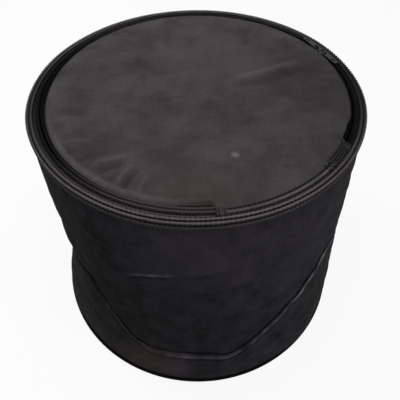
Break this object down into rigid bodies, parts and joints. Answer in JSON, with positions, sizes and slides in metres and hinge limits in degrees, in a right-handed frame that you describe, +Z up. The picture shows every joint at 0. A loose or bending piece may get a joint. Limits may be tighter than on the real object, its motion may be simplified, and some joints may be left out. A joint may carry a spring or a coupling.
{
  "type": "floor tom bag",
  "caption": "Padded cylindrical drum bag standing upright, with a zipped round lid on a sewn hinge, piped rim and base, and a webbing carrying handle on the back wall",
  "frame": {"origin": "On the ground under the middle of the round base. The rim stands 37 mm further back than the base, as the soft wall has slumped.", "axes": "+Z is up, +X is to the right of someone who faces the front, and -Y is the front, from which the picture was taken."},
  "size_m": [0.4532, 0.4934, 0.3423],
  "materials": {
    "wall_cloth": "plain woven polyester, matt black",
    "lid_cloth": "plain woven polyester, charcoal",
    "lining": "thin woven nylon lining, black",
    "foam": "closed-cell padding foam, grey",
    "binding": "folded grosgrain tape, black",
    "piping": "soft plastic piping cord, black",
    "zip_tape": "woven zip tape, black",
    "zip_coil": "moulded nylon coil, black",
    "slider_metal": "die-cast zinc, black enamel",
    "webbing": "woven polypropylene webbing, black",
    "grip_rubber": "moulded soft rubber, black"
  },
  "bodies": {
    "bag": {"wall_outer_fabric": "wall_cloth", "wall_foam": "foam", "wall_lining": "lining", "wall_seam_binding": "binding", "base_outer_fabric": "wall_cloth", "base_foam": "foam", "base_lining": "lining", "base_seam_binding": "binding", "base_piping": "piping", "rim_band": "binding", "rim_piping": "piping", "rim_binding": "binding", "rim_inner_binding": "binding", "zip_tape_body": "zip_tape", "zip_coil_body": "zip_coil", "zip_end_tab_left": "binding", "zip_end_tab_right": "binding", "hinge_outer_fabric": "lid_cloth", "hinge_foam": "foam", "hinge_lining": "lining", "handle_patch_left": "binding", "handle_patch_right": "binding", "handle_webbing_left": "webbing", "handle_webbing_right": "webbing"},
    "lid": {"lid_outer_fabric": "lid_cloth", "lid_foam": "foam", "lid_lining": "lining", "lid_seam_binding": "binding", "zip_tape_lid": "zip_tape", "zip_coil_lid": "zip_coil"},
    "left_slider": {"slider_left": "slider_metal"},
    "right_slider": {"slider_right": "slider_metal"},
    "left_pull": {"pull_left": "slider_metal"},
    "right_pull": {"pull_right": "slider_metal"},
    "handle": {"handle_folded_webbing": "webbing", "handle_grip": "grip_rubber"}
  },
  "joints": [
    {"name": "lid_hinge", "type": "hinge", "parent": "bag", "child": "lid", "pos_m": [0.09822, -0.11385, 0.3408], "axis": [0.8387, 0.5446, 0], "range_deg": [0, 175], "deforming": ["zip_tape_lid", "zip_coil_lid"]},
    {"name": "slider_left_travel", "type": "hinge", "parent": "bag", "child": "left_slider", "pos_m": [0, 0.0374, 0.3356], "axis": [0, 0, 1], "range_deg": [0, 242]},
    {"name": "slider_right_travel", "type": "hinge", "parent": "bag", "child": "right_slider", "pos_m": [0, 0.0374, 0.3356], "axis": [0, 0, 1], "range_deg": [-50, 0]},
    {"name": "pull_left_tilt", "type": "hinge", "parent": "left_slider", "child": "left_pull", "pos_m": [0.17647, 0.13652, 0.3386], "axis": [0.8719, 0.4897, 0], "range_deg": [0, 115]},
    {"name": "pull_right_tilt", "type": "hinge", "parent": "right_slider", "child": "right_pull", "pos_m": [0.18391, 0.12191, 0.3386], "axis": [-0.9087, -0.4175, 0], "range_deg": [0, 115]},
    {"name": "handle_swing", "type": "hinge", "parent": "bag", "child": "handle", "pos_m": [0, 0.24801, 0.195], "axis": [1, 0, 0], "range_deg": [0, 145]}
  ]
}
